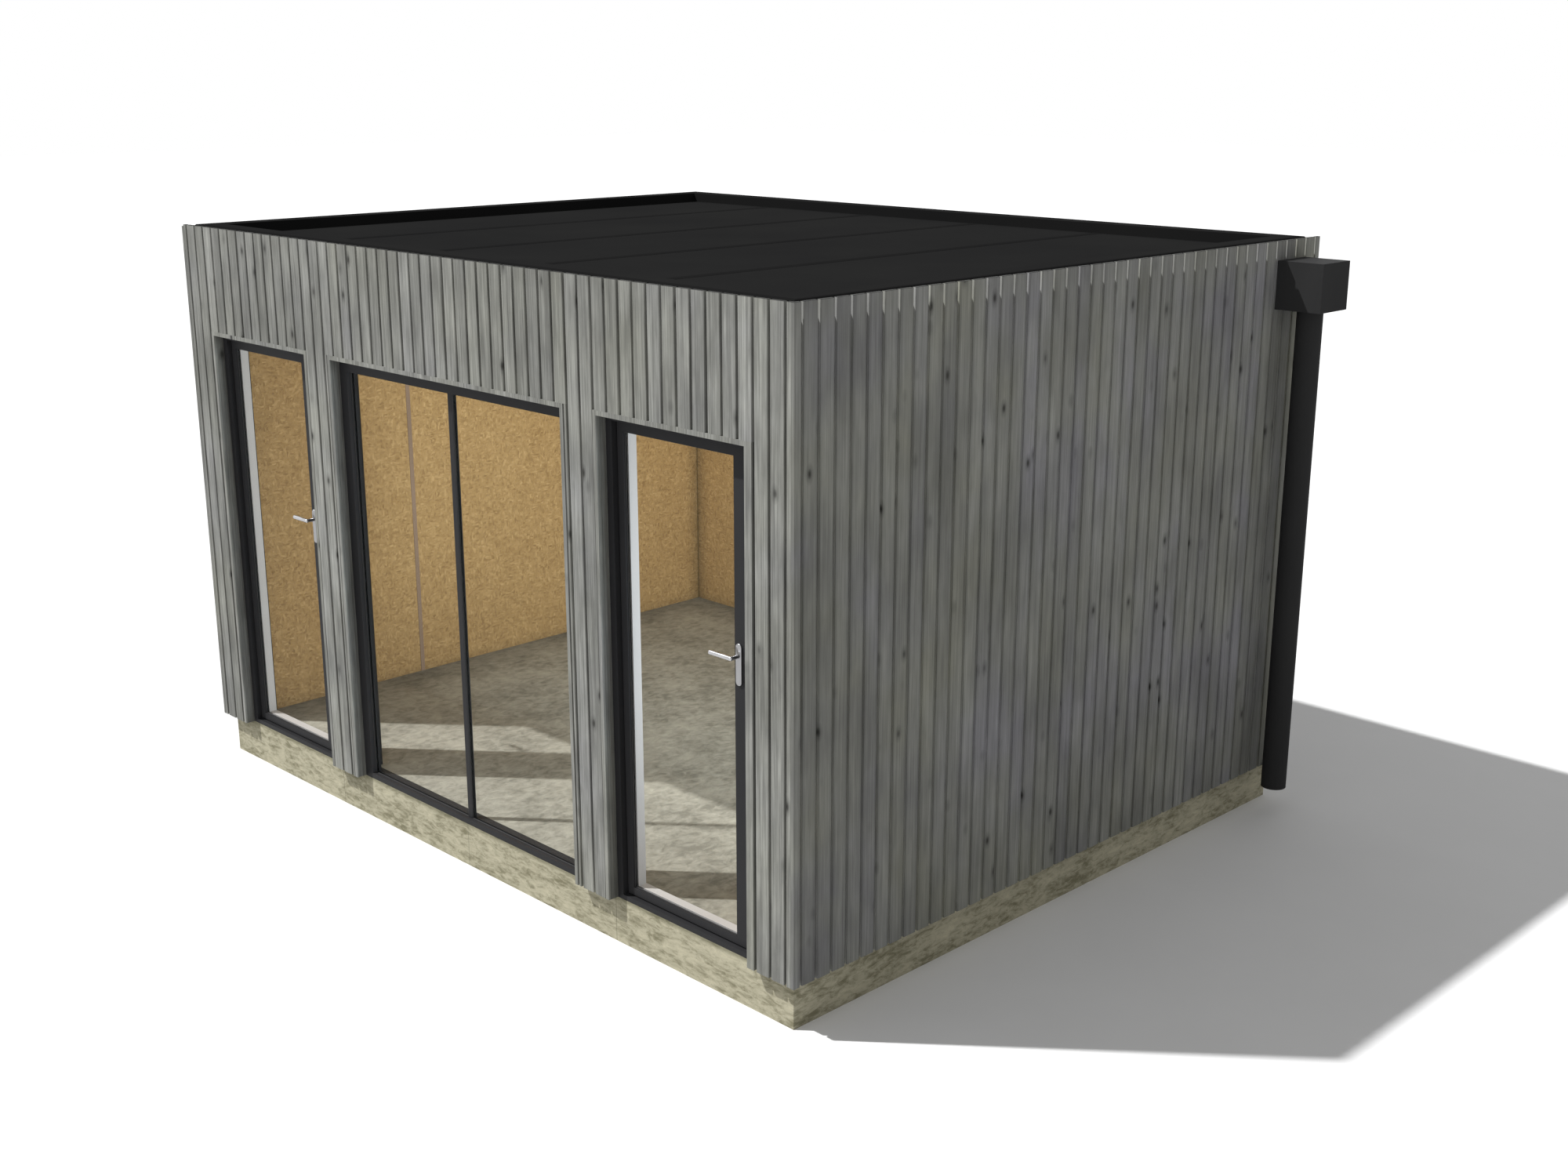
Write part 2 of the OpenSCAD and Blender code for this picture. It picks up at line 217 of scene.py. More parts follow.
# %% Bump and light paths
def relief(tree, skin, height, depth, strength):
    """Turns a height pattern into bump on the shader."""
    n = tree.nodes.new("ShaderNodeBump")
    feed(tree, n.inputs["Height"], height)
    n.inputs["Distance"].default_value = depth
    n.inputs["Strength"].default_value = strength
    tree.links.new(n.outputs["Normal"], skin.inputs["Normal"])


def seen_share(tree):
    """1 where the camera, a mirror or clear glass looks, 0 for light that only passes on."""
    path = tree.nodes.new("ShaderNodeLightPath").outputs
    seen = calc(tree, "MAXIMUM", path["Is Camera Ray"], path["Is Glossy Ray"])
    return calc(tree, "MAXIMUM", seen, path["Is Transmission Ray"])


print("bump and light path helpers ready")

# %% [markdown]
# One sun lamp gives the direct light and the world fills in the rest. The sun shines from the front
# left, so the front is lit and the right side lies in shade. The world looks white to the camera,
# to mirrors and through glass, but lights the building with less than that. Two wide soft lamps
# inside stand for the light that bounces about in a pale room, and the camera can't see them.

# %% Light
LIGHT_WAY = Vector((0.449, 0.389, -0.805))
LAMP_POWER, LAMP_ANGLE = 3.5, math.radians(1.2)
FILL, WHITE = 0.40, 1.0
# Place, direction, width, height and power of each lamp in the room.
ROOM_LAMPS = {"room_light_side": ((1.72, 0.0, 1.35), (-1, 0, 0), 2.6, 1.6, 44.0),
              "room_light_back": ((0.0, -1.0, 1.35), (0, 1, 0), 3.2, 1.6, 23.5)}
ROOM_COLOUR, ROOM_SPREAD = (0.80, 0.91, 1.0), math.radians(130)

scene = bpy.context.scene
scene.view_settings.view_transform = "Standard"


def hang_lamp(name, kind, way, power):
    """A lamp whose light travels along way; gives the lamp's object."""
    lamp = bpy.data.objects.new(name, bpy.data.lights.new(name, kind))
    lamp.data.energy = power
    lamp.rotation_euler = Vector(way).to_track_quat("-Z", "Y").to_euler()
    bpy.context.collection.objects.link(lamp)
    return lamp


hang_lamp("key_light", "SUN", LIGHT_WAY, LAMP_POWER).data.angle = LAMP_ANGLE
for name, (spot, way, wide, tall, power) in ROOM_LAMPS.items():
    lamp = hang_lamp(name, "AREA", way, power)
    lamp.data.shape = "RECTANGLE"
    lamp.data.size, lamp.data.size_y = wide, tall
    lamp.data.color, lamp.data.spread = ROOM_COLOUR, ROOM_SPREAD
    lamp.location = spot
    lamp.visible_camera = lamp.visible_glossy = lamp.visible_transmission = False

world = bpy.data.worlds.new("studio")
world.use_nodes = True
scene.world = world
sky = world.node_tree
back = sky.nodes["Background"]
back.inputs["Color"].default_value = (1, 1, 1, 1)
feed(sky, back.inputs["Strength"], spread(sky, seen_share(sky), 0.0, 1.0, FILL, WHITE))
print("lamp", LAMP_POWER, "fill", FILL, "room lamps", len(ROOM_LAMPS))

# %% [markdown]
# Weathered wood looks the way it does because of where it is, and some of that is painted light.
# On the shaded sides the edges of a board deep in the gaps are painted paler, as painted light,
# and its front edges darker, as painted shade. Weather leaves broad patches that reach over many
# boards. Ends level with the roof's edge are sealed dark. The boards of a reveal get painted shade
# behind their front edge, so there the wood is darker. Boards carry their grain in a UV map
# measured in metres. Reveals have none: their across is x plus y, their along z.

# %% Where wood is weathered
GAP_LIGHT_DEPTH, SHADED_RIM = (0.0030, 0.0055), (0.66, 1.0)
PATCH, PATCH_FROM, PATCH_DARK, PATCH_BRIGHT = (3.4, 3.4, 1.7), (0.34, 0.66), 0.82, 1.16
END_LOW, END_HIGH, END_DARK = 0.0012, 0.0004, 0.10
REVEAL_SHADE_NEAR, REVEAL_SHADE_FAR, REVEAL_SHADE = 0.002, 0.012, 0.57
BOARD_DRIFT, REVEAL_DRIFT, DRIFT_MOVE = (2.6, 2.6, 1.9), (6, 1.1, 1), (3, 8, 0)
REVEAL_TONE, REVEAL_TINT, TINT_MOVE = (9, 0.4, 1), (5, 0.3, 1), (7, 3, 0)


def carried(tree, label):
    """A value that the mesh carries on its points."""
    n = tree.nodes.new("ShaderNodeAttribute")
    n.attribute_name = label
    return n.outputs["Fac"]


def board_facts(tree, painted_light_level, edge_shade, gap_edge_light):
    """Grain, tone, tint, drift of hue, and wear and painted light of a board. The last is the
    product of painted light on the edges deep in the gaps, painted shade at the rims, the broad
    patches times the painted light level, and the sealed ends."""
    n = tree.nodes.new("ShaderNodeUVMap")
    n.uv_map = "grain"
    spot = place(tree)
    # Painted light: faces deep in the gaps are made paler.
    gap_light = spread(tree, carried(tree, "deep"), *GAP_LIGHT_DEPTH, 1.0, gap_edge_light)
    # Painted shade: darker towards both edges of the board.
    to_rim = calc(tree, "ABSOLUTE", carried(tree, "rim"))
    rim = spread(tree, to_rim, *SHADED_RIM, 1.0, 1.0 - edge_shade)
    patch = cloud(tree, stretch(tree, spot, PATCH), detail=3)
    # The patches are also scaled by a painted light level, lower on the shaded sides.
    patch = spread(tree, patch, *PATCH_FROM, PATCH_DARK * painted_light_level, PATCH_BRIGHT * painted_light_level)
    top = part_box("left_cladding")[1].z
    end = spread(tree, parts_of(tree, spot)[2], top - END_LOW, top - END_HIGH, 1.0, END_DARK)
    drift = cloud(tree, stretch(tree, spot, BOARD_DRIFT, DRIFT_MOVE), detail=3)
    wear_and_painted_light = times(tree, gap_light, rim, patch, end)
    return n.outputs["UV"], carried(tree, "tone"), carried(tree, "tint"), drift, wear_and_painted_light


def reveal_facts(tree):
    """The same five for a reveal, from its place, with painted shade deeper in from the front."""
    x, y, z = parts_of(tree, place(tree))
    n = tree.nodes.new("ShaderNodeCombineXYZ")
    feed(tree, n.inputs[0], calc(tree, "ADD", x, y))
    feed(tree, n.inputs[1], z)
    grain = n.outputs[0]
    tone = cloud(tree, stretch(tree, grain, REVEAL_TONE))
    tint = cloud(tree, stretch(tree, grain, REVEAL_TINT, TINT_MOVE))
    drift = cloud(tree, stretch(tree, grain, REVEAL_DRIFT, DRIFT_MOVE), detail=2)
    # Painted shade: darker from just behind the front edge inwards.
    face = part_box("left_reveal")[0].y
    wear_and_painted_light = spread(tree, y, face + REVEAL_SHADE_NEAR, face + REVEAL_SHADE_FAR, 1.0, REVEAL_SHADE)
    return grain, tone, tint, drift, wear_and_painted_light


print("facts for boards and reveals ready")

# %% [markdown]
# On top of that comes the wood itself: grey with long streaks along the grain, soft stains, and
# here and there a dark knot. All of it is noise, squeezed across the grain. The sunlit front and
# left get a lit copy with the stronger contrast. The right and back get a shaded copy, darker and
# calmer in tone as painted shade, but their hue wanders more, from olive to violet.

# %% Weathered wood
FINE, STREAK, STAIN, KNOTS = (210, 3.5, 1), (85, 1.3, 1), (17, 4.5, 1), (11, 6, 1)
# For tone, streak, fine and stain: the pattern's range, and how dark and bright it makes the wood.
WEAR = ((0.0, 1.0, 0.89, 1.13), (0.3, 0.72, 0.70, 1.26),
        (0.32, 0.68, 0.74, 1.24), (0.32, 0.68, 0.80, 1.16))
WOOD_HUES = ((0.15, 0.272, 0.272, 0.225), (0.4, 0.267, 0.269, 0.241),
             (0.6, 0.262, 0.264, 0.248), (0.85, 0.258, 0.256, 0.268))
KNOT_KEPT, KNOT_RING, KNOT_CORE = (0.50, 0.52), 0.55, (0.030, 0.029, 0.025, 1)
TINT_SHARE, DRIFT_FROM = 0.35, (0.3, 0.7)


def weathered_wood(name, board=None, contrast=1.0, hues=0.45):
    """Wear and painted light times tone, streaks, fine lines and stains, each drawn towards 1 by
    contrast, times a hue that strays from the middle by hues. A knot is a dark core in a ring, at
    some points."""
    mat, tree, skin = finish(name)
    facts = board_facts(tree, **board) if board else reveal_facts(tree)
    grain, tone, tint, drift, light = facts
    fine = cloud(tree, stretch(tree, grain, FINE), detail=4)
    streak = cloud(tree, stretch(tree, grain, STREAK), detail=5, rough=0.6, bend=0.4)
    stain = cloud(tree, stretch(tree, grain, STAIN), detail=4)
    for pattern, (low, high, dark, bright) in zip((tone, streak, fine, stain), WEAR):
        dark, bright = 1 + (dark - 1) * contrast, 1 + (bright - 1) * contrast
        light = times(tree, light, spread(tree, pattern, low, high, dark, bright))

    knot_place = stretch(tree, grain, KNOTS)
    knot = cells(tree, knot_place)
    kept = spread(tree, cells(tree, knot_place, out="Color"), *KNOT_KEPT)
    ring = times(tree, spread(tree, knot, 0.06, 0.24, 1.0, 0.0), kept)
    core = times(tree, spread(tree, knot, 0.03, 0.12, 0.9, 0.0), kept)
    light = times(tree, light, spread(tree, ring, 0.0, 1.0, 1.0, KNOT_RING))

    shade = average(tree, tint, TINT_SHARE, spread(tree, drift, *DRIFT_FROM))
    shade = spread(tree, shade, 0.0, 1.0, 0.5 - hues / 2, 0.5 + hues / 2)
    colour = blend(tree, 1.0, ramp(tree, shade, *WOOD_HUES), light, "MULTIPLY")
    feed(tree, skin.inputs["Base Color"], blend(tree, core, colour, KNOT_CORE))
    feed(tree, skin.inputs["Roughness"], spread(tree, streak, 0.2, 0.8, 0.72, 0.9))
    skin.inputs["Specular IOR Level"].default_value = 0.25
    relief(tree, skin, calc(tree, "ADD", times(tree, fine, 0.5), streak), 0.0012, 0.5)
    return mat


# Lit and shaded copies of the wood: the shaded one is darker and calmer, as painted shade.
LIT_BOARD = {"painted_light_level": 1.0, "edge_shade": 0.0, "gap_edge_light": 1.0}
SHADED_BOARD = {"painted_light_level": 0.84, "edge_shade": 0.14, "gap_edge_light": 2.2}
board_wood = weathered_wood("weathered_boards", LIT_BOARD)
shaded_wood = weathered_wood("weathered_side_boards_painted_shade", SHADED_BOARD, contrast=0.6, hues=0.85)
reveal_wood = weathered_wood("weathered_reveal")
print("wood finishes:", board_wood.name, shaded_wood.name, reveal_wood.name)

# %% [markdown]
# New pieces are worked out as whole arrays. A loft is a stack of rings with the same number of
# points. Neighbouring rings are joined by quads, and the first and last ring close it, unless the
# path comes back to its start. One helper makes the faces for many lofts at once, and another
# checks by the signed volume that the faces look outwards before the mesh is filled.


# %% Mesh helpers
def ring_faces(count, rings, points, round_path=False):
    """Quads between neighbouring rings of count lofts, with end caps or a closed path."""
    grid = np.arange(count * rings * points).reshape(count, rings, points)
    if round_path:
        near, far = grid, np.roll(grid, -1, axis=1)
        caps = np.zeros((0, points), int)
    else:
        near, far = grid[:, :-1], grid[:, 1:]
        caps = np.concatenate([grid[:, 0, ::-1], grid[:, -1]])
    quads = np.stack([near, np.roll(near, -1, axis=2), np.roll(far, -1, axis=2), far], axis=-1)
    return [quads.reshape(-1, 4), caps]


def signed_volume(spots, faces):
    """Sum of the tetrahedra from the origin to each face's fan of triangles."""
    total = 0.0
    for block in faces:
        for k in range(1, block.shape[1] - 1):
            a, b, c = (spots[block[:, i]] for i in (0, k, k + 1))
            total += float(np.einsum("ij,ij->i", a, np.cross(b, c)).sum()) / 6
    return total


def make_piece(name, spots, faces, mat, body, smooth=0.0):
    """Fills a mesh from arrays, faces outwards, and lets it ride on its body."""
    spots = np.asarray(spots, float).reshape(-1, 3)
    faces = [block for block in faces if len(block)]
    if signed_volume(spots, faces) < 0:
        faces = [block[:, ::-1] for block in faces]
    mesh = bpy.data.meshes.new(name)
    mesh.from_pydata(spots.tolist(), [], [f for block in faces for f in block.tolist()])
    if smooth:
        mesh.shade_smooth()
        mesh.set_sharp_from_angle(angle=smooth)
    mesh.materials.append(mat)
    piece = bpy.data.objects.new(name, mesh)
    bpy.context.collection.objects.link(piece)
    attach(piece, body)
    print(name, len(mesh.polygons), "faces")
    return piece


print("mesh helpers ready")

# %% [markdown]
# The boarding is what the eye goes to first. Narrow upright boards stand with open gaps, so each is
# a piece of wood of its own, not a groove in a sheet. A board is a profile with eased front edges
# carried straight up. All boards of one side are made in one go: their edges, feet and heads are
# arrays. Every board gets its own tone, tint and place in the grain from a seeded draw.

# %% Board maker
BOARD_T, EASE, EASE_MIDDLE = 0.016, 0.0025, 0.293
SET_BACK, GRAIN_ROOM = 0.0012, 40
draw = np.random.default_rng(20)


def lay_boards(name, low, high, foot, head, put, wood):
    """Profile of 8 points, across from low to high and BOARD_T deep, carried from foot to head.
    put(across, depth, up) turns the three into places on the building."""
    low, high, foot, head = (np.asarray(v, float) for v in (low, high, foot, head))
    side = np.array([0, 0, 0, 0, 1, 1, 1, 1])
    inset = np.array([0, 0, EASE_MIDDLE, 1, -1, -EASE_MIDDLE, 0, 0]) * EASE
    middle = EASE_MIDDLE * EASE
    depth = np.array([BOARD_T, EASE, middle, 0, 0, middle, EASE, BOARD_T])
    count = len(low)
    set_back = draw.uniform(0, SET_BACK, count)
    across = np.where(side, high[:, None], low[:, None]) + inset
    deep = depth + set_back[:, None]
    up = np.stack([foot, head], axis=1)
    shape = (count, 2, 8)
    full = [np.broadcast_to(v, shape) for v in (across[:, None], deep[:, None], up[:, :, None])]
    spots = np.stack(put(*full), axis=-1)
    piece = make_piece(name, spots, ring_faces(*shape), wood, "building")

    girth = np.cumsum(np.hypot(np.diff(across, axis=1), np.diff(deep, axis=1)), axis=1)
    girth = np.concatenate([np.zeros((count, 1)), girth], axis=1)
    shift = draw.uniform(0, GRAIN_ROOM, (count, 2))
    u = np.broadcast_to(girth[:, None] + shift[:, :1, None], shape)
    v = full[2] + shift[:, 1:, None]
    mesh = piece.data
    corner = np.empty(len(mesh.loops), int)
    mesh.loops.foreach_get("vertex_index", corner)
    flat = np.stack([u.ravel(), v.ravel()], axis=1)[corner]
    mesh.uv_layers.new(name="grain").data.foreach_set("uv", flat.ravel())

    in_gap = np.ones((count, 1, 8))
    in_gap[0, :, side == 0] = in_gap[-1, :, side == 1] = 0
    tone, tint = draw.uniform(0, 1, (count, 1, 1)), draw.uniform(0, 1, (count, 1, 1))
    known = {"tone": tone, "tint": tint, "rim": side * 2.0 - 1.0, "deep": depth * in_gap}
    for label, value in known.items():
        value = np.broadcast_to(value, shape).ravel()
        mesh.attributes.new(label, "FLOAT", "POINT").data.foreach_set("value", value)
    return piece


print("boards will be", BOARD_T, "m thick")

# %% [markdown]
# The gaps repeat about every 75 mm. The side boards run past the corners and show their edge on the
# front, so the front boards stop one board's thickness short. Boards over the openings are short,
# and a board that an opening cuts into has a full upper part and a narrow lower part.

# %% Front boards
GAP = 0.012
FOOT, HEAD, TOP, LOW_TOP = 0.190, 2.102, 2.576, 2.568
HALF_W, HALF_D = 2.000, 1.595
FRONT_GAPS = np.linspace(-1.957, 1.957, 53)
PIERS = np.array([[-HALF_W, -1.799], [-0.975, -0.803], [0.803, 0.975], [1.799, HALF_W]])
REVEAL_GAP, LEAST, SLACK = 0.006, 0.007, 0.002
FRONT_HALF = HALF_W - BOARD_T


def between(gaps, half):
    """Low and high edges of the boards from -half to half, open by GAP at every gap."""
    low = np.concatenate([[-half], gaps + GAP / 2])
    high = np.concatenate([gaps - GAP / 2, [half]])
    return low, high


low, high = between(FRONT_GAPS, FRONT_HALF)
inside = (low[:, None] >= PIERS[:, 0] - SLACK) & (high[:, None] <= PIERS[:, 1] + SLACK)
tall = inside.any(axis=1)
part_low = np.maximum(low[:, None], PIERS[:, 0] + REVEAL_GAP)
part_high = np.minimum(high[:, None], PIERS[:, 1] - REVEAL_GAP)
cut = (part_high - part_low > LEAST) & ~tall[:, None]
b_low = np.concatenate([low, part_low[cut]])
b_high = np.concatenate([high, part_high[cut]])
b_foot = np.concatenate([np.where(tall, FOOT, HEAD), np.full(cut.sum(), FOOT)])
b_head = np.concatenate([np.full(len(low), TOP), np.full(cut.sum(), HEAD)])
front_boards = lay_boards("front_boards", b_low, b_high, b_foot, b_head,
                          lambda across, deep, up: (across, deep - HALF_D, up), board_wood)
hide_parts("lintel_cladding", "outer_cladding_left", "inner_cladding_left",
            "inner_cladding_right", "outer_cladding_right")

# %% [markdown]
# The other three walls have no openings, so all their boards run from foot to top. The same maker
# lays them, and only the rule that puts across, depth and height into place differs. The left and
# back boards end a little lower, below the roof's edge.

# %% Side and back boards
SIDE_GAPS = np.linspace(-1.558, 1.558, 42)
WALLS = {
    "right": (SIDE_GAPS, HALF_D, TOP, shaded_wood,
              lambda across, deep, up: (HALF_W - deep, across, up)),
    "left": (SIDE_GAPS, HALF_D, LOW_TOP, board_wood,
             lambda across, deep, up: (deep - HALF_W, across, up)),
    "back": (FRONT_GAPS, FRONT_HALF, LOW_TOP, shaded_wood,
             lambda across, deep, up: (across, HALF_D - deep, up)),
}
for wall, (gaps, half, top, wood, put) in WALLS.items():
    low, high = between(gaps, half)
    feet, heads = np.full(len(low), FOOT), np.full(len(low), top)
    boards = lay_boards(wall + "_boards", low, high, feet, heads, put, wood)
    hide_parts(wall + "_cladding")

# %% [markdown]
# Behind open gaps one sees what carries the boards: flat battens, and behind them a black wind
# sheet on the wall. Both are thin bars with eased edges, so one function lays them all as boxes
# given by their low and high corners.


# %% Bars and their finishes
def lay_bars(name, low, high, mat, ease):
    """Bars along x or y: a ring of 8 points, which is the rectangle of thickness and height with
    its corners cut by ease, carried from end to end. low and high are arrays of corners."""
    low, high = np.asarray(low, float), np.asarray(high, float)
    along_x = (high - low)[:, 0] >= (high - low)[:, 1]
    s = np.array([0, 0, 0, 1, 1, 1, 1, 0])
    t = np.array([0, 1, 1, 1, 1, 0, 0, 0])
    ds = np.array([0, 0, 1, -1, 0, 0, -1, 1]) * ease
    dt = np.array([1, -1, 0, 0, -1, 1, 0, 0]) * ease
    thin_low = np.where(along_x, low[:, 1], low[:, 0])[:, None]
    thin_high = np.where(along_x, high[:, 1], high[:, 0])[:, None]
    thin = np.where(s, thin_high, thin_low) + ds
    up = np.where(t, high[:, 2:], low[:, 2:]) + dt
    run = np.stack([np.where(along_x, low[:, 0], low[:, 1]),
                    np.where(along_x, high[:, 0], high[:, 1])], axis=1)
    shape = (len(low), 2, 8)
    thin, up = (np.broadcast_to(v[:, None], shape) for v in (thin, up))
    run = np.broadcast_to(run[:, :, None], shape)
    turn = np.broadcast_to(along_x[:, None, None], shape)
    spots = np.stack([np.where(turn, run, thin), np.where(turn, thin, run), up], axis=-1)
    make_piece(name, spots, ring_faces(*shape), mat, "building")


def dark_wood(name):
    """Very dark timber, as painted shade behind the boards: brown grey with streaks along the bar.
    """
    mat, tree, skin = finish(name)
    streak = cloud(tree, stretch(tree, place(tree), (3, 3, 90)), detail=4)
    colour = ramp(tree, streak, (0.3, 0.035, 0.032, 0.026), (0.7, 0.075, 0.07, 0.055))
    feed(tree, skin.inputs["Base Color"], colour)
    skin.inputs["Roughness"].default_value = 0.85
    relief(tree, skin, streak, 0.001, 0.4)
    return mat


def black_sheet(name, shade):
    """Matt black sheet with faint blotches around shade and a fine hammered surface."""
    mat, tree, skin = finish(name)
    spot = place(tree)
    blot = cloud(tree, stretch(tree, spot, (1.7, 1.7, 1.7)), detail=5)
    grit = cloud(tree, stretch(tree, spot, (260, 260, 260)), detail=2)
    colour = ramp(tree, blot, (0.3, shade * 0.93, shade * 0.93, shade * 0.94),
                  (0.7, shade * 1.07, shade * 1.07, shade * 1.06))
    feed(tree, skin.inputs["Base Color"], colour)
    feed(tree, skin.inputs["Roughness"], spread(tree, blot, 0.3, 0.7, 0.84, 0.95))
    skin.inputs["Specular IOR Level"].default_value = 0.0
    relief(tree, skin, grit, 0.0006, 0.35)
    return mat


# The battens' near black is painted shade for their place behind the boards.
batten_wood = dark_wood("batten_timber")
wind_black = black_sheet("wind_sheet_black", 0.012)
print("finishes behind the boards:", batten_wood.name, wind_black.name)

# %% [markdown]
# The battens run level on every wall, and on the front only over the lintel and the piers, so that
# none crosses an opening. Near the top there are none, so light falls through the gaps. The wind
# sheet follows the same outline from the foot to the roof.

# %% Battens and wind sheet
BATTEN_T, BATTEN_H, BATTEN_EASE, BATTEN_END = 0.0275, 0.048, 0.002, 0.004
SHEET_T, SHEET_EASE, SHEET_TOP = 0.0015, 0.0004, 2.526
WALL_BATTENS = np.array([0.27, 0.80, 1.33, 1.86, 2.36])
LINTEL_BATTENS = np.array([2.16, 2.36])
CORE_X, CORE_Y = 1.955, 1.550

rows = []
for z in WALL_BATTENS:
    rows.append([[-CORE_X, CORE_Y, z], [CORE_X, CORE_Y + BATTEN_T, z + BATTEN_H]])
    for x in (-CORE_X - BATTEN_T, CORE_X):
        rows.append([[x, -CORE_Y, z], [x + BATTEN_T, CORE_Y, z + BATTEN_H]])
for z in WALL_BATTENS[WALL_BATTENS < HEAD]:
    for x0, x1 in PIERS:
        x0, x1 = max(x0, -CORE_X) + BATTEN_END, min(x1, CORE_X) - BATTEN_END
        rows.append([[x0, -CORE_Y - BATTEN_T, z], [x1, -CORE_Y, z + BATTEN_H]])
for z in LINTEL_BATTENS:
    rows.append([[-CORE_X, -CORE_Y - BATTEN_T, z], [CORE_X, -CORE_Y, z + BATTEN_H]])
rows = np.array(rows)
lay_bars("battens", rows[:, 0], rows[:, 1], batten_wood, BATTEN_EASE)

sheets = [[[-CORE_X, CORE_Y, FOOT], [CORE_X, CORE_Y + SHEET_T, SHEET_TOP]],
          [[-CORE_X, -CORE_Y - SHEET_T, HEAD], [CORE_X, -CORE_Y, SHEET_TOP]]]
for x in (-CORE_X - SHEET_T, CORE_X):
    sheets.append([[x, -CORE_Y, FOOT], [x + SHEET_T, CORE_Y, SHEET_TOP]])
for x0, x1 in PIERS:
    x0, x1 = max(x0, -CORE_X), min(x1, CORE_X)
    sheets.append([[x0, -CORE_Y - SHEET_T, FOOT], [x1, -CORE_Y, HEAD]])
sheets = np.array(sheets)
lay_bars("wind_sheet", sheets[:, 0], sheets[:, 1], wind_black, SHEET_EASE)

# %% [markdown]
# A ring with mitred corners is the shape of a kerb rail and of a rubber seal round a pane. It is
# one small profile carried round a rectangle: at each corner the profile is pushed in along both
# sides by the same amount, which gives the mitre, and the fourth ring is joined to the first. The
# rail is a shade darker than the roof sheet, so that it draws a fine line along the roof's edge.


# %% Kerb rail
def mitred_ring(low, high, profile):
    """Rings at a rectangle's four corners: profile rows are (inwards, depth)."""
    corner = np.array([[0, 0], [1, 0], [1, 1], [0, 1]])
    start = np.where(corner, high, low).astype(float)
    inward = np.where(corner, -1.0, 1.0)
    profile = np.asarray(profile, float)
    flat = start[:, None] + inward[:, None] * profile[None, :, :1]
    depth = np.broadcast_to(profile[None, :, 1:], flat.shape[:2] + (1,))
    return np.concatenate([flat, depth], axis=-1)


RAIL_TOP, RAIL_T, RAIL_EASE = 2.576, 0.024, 0.004
roof_black = black_sheet("roof_sheet_black", 0.0175)
trim_black = black_sheet("roof_trim_black", 0.0135)
rail = mitred_ring((-CORE_X, -CORE_Y), (CORE_X, CORE_Y),
                   [(0, SHEET_TOP), (0, RAIL_TOP - RAIL_EASE), (RAIL_EASE, RAIL_TOP),
                    (RAIL_T, RAIL_TOP), (RAIL_T, SHEET_TOP)])
make_piece("kerb_rail", rail, ring_faces(1, 4, 5, True), trim_black, "building")

# %% [markdown]
# The roof is covered with strips of sheet that are welded where they overlap. Each weld is a flat
# band, laid from front to back and hardly raised, with one side a little steeper than the other.

# %% Roof seams
SEAMS = np.array([-1.25, -0.52, 0.21, 0.94])
SEAM_W, SEAM_H, ROOF_Z, TRAY_Y = 0.05, 0.0016, 2.530, 1.445
across = np.array([-0.5, -0.45, 0.42, 0.5, 0.5, -0.5]) * SEAM_W
rise = np.array([0.2, 1.0, 1.0, 0.2, -0.2, -0.2]) * SEAM_H
shape = (len(SEAMS), 2, len(rise))
x = np.broadcast_to(SEAMS[:, None, None] + across, shape)
y = np.broadcast_to(np.array([-TRAY_Y, TRAY_Y])[None, :, None], shape)
z = np.broadcast_to(ROOF_Z + rise, shape)
make_piece("roof_seams", np.stack([x, y, z], axis=-1), ring_faces(*shape), trim_black,
           "building")

# %% [markdown]
# Every pane sits in black rubber. The seal is a narrow rounded ring in the corner between the
# frame's lip and the glass. The seals of a door ride on that door, those of the window on the
# building.


# %% Glass seals
def soft_rubber(name):
    """Black rubber, slightly dusty in broad patches."""
    mat, tree, skin = finish(name)
    dust_and_shade = cloud(tree, stretch(tree, place(tree), (30, 30, 30)), detail=4)
    colour = ramp(tree, dust_and_shade, (0.35, 0.010, 0.010, 0.011), (0.75, 0.028, 0.028, 0.028))
    feed(tree, skin.inputs["Base Color"], colour)
    feed(tree, skin.inputs["Roughness"], spread(tree, dust_and_shade, 0.3, 0.7, 0.5, 0.7))
    relief(tree, skin, dust_and_shade, 0.0004, 0.3)
    return mat


SEAL = np.array([(0, 0), (0, -0.0028), (0.0012, -0.0035), (0.003, -0.0028), (0.004, 0)])
HELD = 0.006
seal_rubber = soft_rubber("seal_rubber")


def lay_seal(name, glass, body):
    """Mitred ring on the glass's front, HELD inside its edges, where the frame's lip ends."""
    low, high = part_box(glass)
    ring = mitred_ring((low.x + HELD, low.z + HELD), (high.x - HELD, high.z - HELD), SEAL)
    spots = np.stack([ring[..., 0], ring[..., 2] + low.y, ring[..., 1]], axis=-1)
    make_piece(name, spots, ring_faces(1, 4, len(SEAL), True), seal_rubber, body)


for hand in ("left", "right"):
    lay_seal(hand + "_door_seal", hand + "_glass", hand + "_door")
    lay_seal(hand + "_window_seal", "window_pane_" + hand, "building")

# %% [markdown]
# The handle plates have round ends and a softened rim. Such a plate is a stack of stadium outlines:
# each ring is the outline drawn in by a little and lifted by a little, until the last one closes on
# the middle line. Brushed steel shows fine lines along the plate, so noise is stretched that way.


